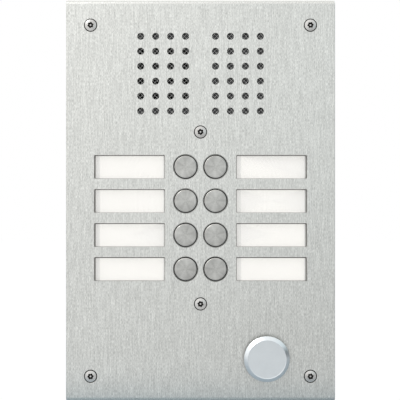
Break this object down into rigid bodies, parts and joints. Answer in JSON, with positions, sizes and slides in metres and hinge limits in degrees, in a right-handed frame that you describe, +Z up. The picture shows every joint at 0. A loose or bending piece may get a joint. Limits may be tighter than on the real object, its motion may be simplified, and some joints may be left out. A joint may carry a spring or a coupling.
{
  "type": "door intercom panel",
  "caption": "Flush-mounted stainless door intercom panel with two speech grilles, call buttons with name windows and a large push button.",
  "frame": {"origin": "centre of the wall box's rear face, in the middle of its four fixing holes", "axes": "+Z up the panel, +Y into the wall, so the front faces -Y; +X to the right seen from the front"},
  "size_m": [0.18, 0.0563, 0.269],
  "materials": {
    "plate_steel": "brushed upright",
    "button_steel": "turned",
    "screw_steel": "polished",
    "galvanised_steel": "galvanised",
    "mesh_steel": "woven",
    "black_rubber": "matt",
    "carrier_plastic": "moulded",
    "strip_board": "laminate",
    "relay_plastic": "moulded",
    "chip_resin": "moulded",
    "lead_plastic": "extruded",
    "clear_plastic": "clear",
    "white_card": "matt card",
    "opal_plastic": "opal",
    "board_green": "solder mask",
    "led_white": "clear resin",
    "silicone": "translucent",
    "anodised_aluminium": "satin anodised",
    "nickel_brass": "nickel plated",
    "spring_steel": "bright",
    "zinc_steel": "zinc plated",
    "paper_cone": "pulp",
    "ferrite": "ferrite and zinc plates",
    "capsule_aluminium": "drawn can",
    "terminal_plastic": "moulded",
    "capacitor_sleeve": "shrunk sleeve",
    "trimmer_plastic": "moulded",
    "header_plastic": "moulded",
    "ribbon_plastic": "flat cable"
  },
  "bodies": {
    "panel": {"amplifier_chip": "chip_resin", "audio_chassis": "carrier_plastic", "back_box": "galvanised_steel", "backlight_leds": "led_white", "board_pillars": "zinc_steel", "board_screws": "zinc_steel", "button_board": "board_green", "button_carrier": "carrier_plastic", "cable_grommet": "black_rubber", "capacitors": "capacitor_sleeve", "corner_lugs": "galvanised_steel", "corner_screws": "screw_steel", "door_relay": "relay_plastic", "face_plate": "plate_steel", "grille_meshes": "mesh_steel", "keypad_mat": "silicone", "light_button_housing": "nickel_brass", "light_button_nut": "nickel_brass", "light_button_seal": "black_rubber", "light_button_spring": "spring_steel", "light_button_washer": "zinc_steel", "light_diffusers": "opal_plastic", "light_switch": "carrier_plastic", "main_board": "board_green", "microphone_boot": "black_rubber", "microphone_capsule": "capsule_aluminium", "module_screws": "screw_steel", "name_cards": "white_card", "name_window_1": "clear_plastic", "name_window_2": "clear_plastic", "name_window_3": "clear_plastic", "name_window_4": "clear_plastic", "name_window_5": "clear_plastic", "name_window_6": "clear_plastic", "name_window_7": "clear_plastic", "name_window_8": "clear_plastic", "plate_gasket": "black_rubber", "ribbon_cable": "ribbon_plastic", "ribbon_headers": "header_plastic", "speaker_basket": "galvanised_steel", "speaker_cone": "paper_cone", "speaker_gasket": "black_rubber", "speaker_magnet": "ferrite", "speaker_terminals": "strip_board", "stud_nuts": "zinc_steel", "terminal_block": "terminal_plastic", "volume_trimmers": "trimmer_plastic", "weld_studs": "zinc_steel", "wiring_loom": "lead_plastic"},
    "call_button_1": {"call_button_1": "button_steel"},
    "call_button_2": {"call_button_2": "button_steel"},
    "call_button_3": {"call_button_3": "button_steel"},
    "call_button_4": {"call_button_4": "button_steel"},
    "call_button_5": {"call_button_5": "button_steel"},
    "call_button_6": {"call_button_6": "button_steel"},
    "call_button_7": {"call_button_7": "button_steel"},
    "call_button_8": {"call_button_8": "button_steel"},
    "light_button": {"light_button": "anodised_aluminium", "light_button_clip": "spring_steel", "switch_plunger": "carrier_plastic"}
  },
  "joints": [
    {"name": "call_button_1_press", "type": "slide", "parent": "panel", "child": "call_button_1", "axis": [0, 1, 0], "range_m": [0, 0.0012], "stiffness_N_per_m": 1500, "springref_m": -0.001, "deforming": ["keypad_mat"]},
    {"name": "call_button_2_press", "type": "slide", "parent": "panel", "child": "call_button_2", "axis": [0, 1, 0], "range_m": [0, 0.0012], "stiffness_N_per_m": 1500, "springref_m": -0.001, "deforming": ["keypad_mat"]},
    {"name": "call_button_3_press", "type": "slide", "parent": "panel", "child": "call_button_3", "axis": [0, 1, 0], "range_m": [0, 0.0012], "stiffness_N_per_m": 1500, "springref_m": -0.001, "deforming": ["keypad_mat"]},
    {"name": "call_button_4_press", "type": "slide", "parent": "panel", "child": "call_button_4", "axis": [0, 1, 0], "range_m": [0, 0.0012], "stiffness_N_per_m": 1500, "springref_m": -0.001, "deforming": ["keypad_mat"]},
    {"name": "call_button_5_press", "type": "slide", "parent": "panel", "child": "call_button_5", "axis": [0, 1, 0], "range_m": [0, 0.0012], "stiffness_N_per_m": 1500, "springref_m": -0.001, "deforming": ["keypad_mat"]},
    {"name": "call_button_6_press", "type": "slide", "parent": "panel", "child": "call_button_6", "axis": [0, 1, 0], "range_m": [0, 0.0012], "stiffness_N_per_m": 1500, "springref_m": -0.001, "deforming": ["keypad_mat"]},
    {"name": "call_button_7_press", "type": "slide", "parent": "panel", "child": "call_button_7", "axis": [0, 1, 0], "range_m": [0, 0.0012], "stiffness_N_per_m": 1500, "springref_m": -0.001, "deforming": ["keypad_mat"]},
    {"name": "call_button_8_press", "type": "slide", "parent": "panel", "child": "call_button_8", "axis": [0, 1, 0], "range_m": [0, 0.0012], "stiffness_N_per_m": 1500, "springref_m": -0.001, "deforming": ["keypad_mat"]},
    {"name": "light_button_press", "type": "slide", "parent": "panel", "child": "light_button", "axis": [0, 1, 0], "range_m": [0, 0.0014], "stiffness_N_per_m": 1200, "springref_m": -0.0015, "deforming": ["light_button_spring"]}
  ]
}
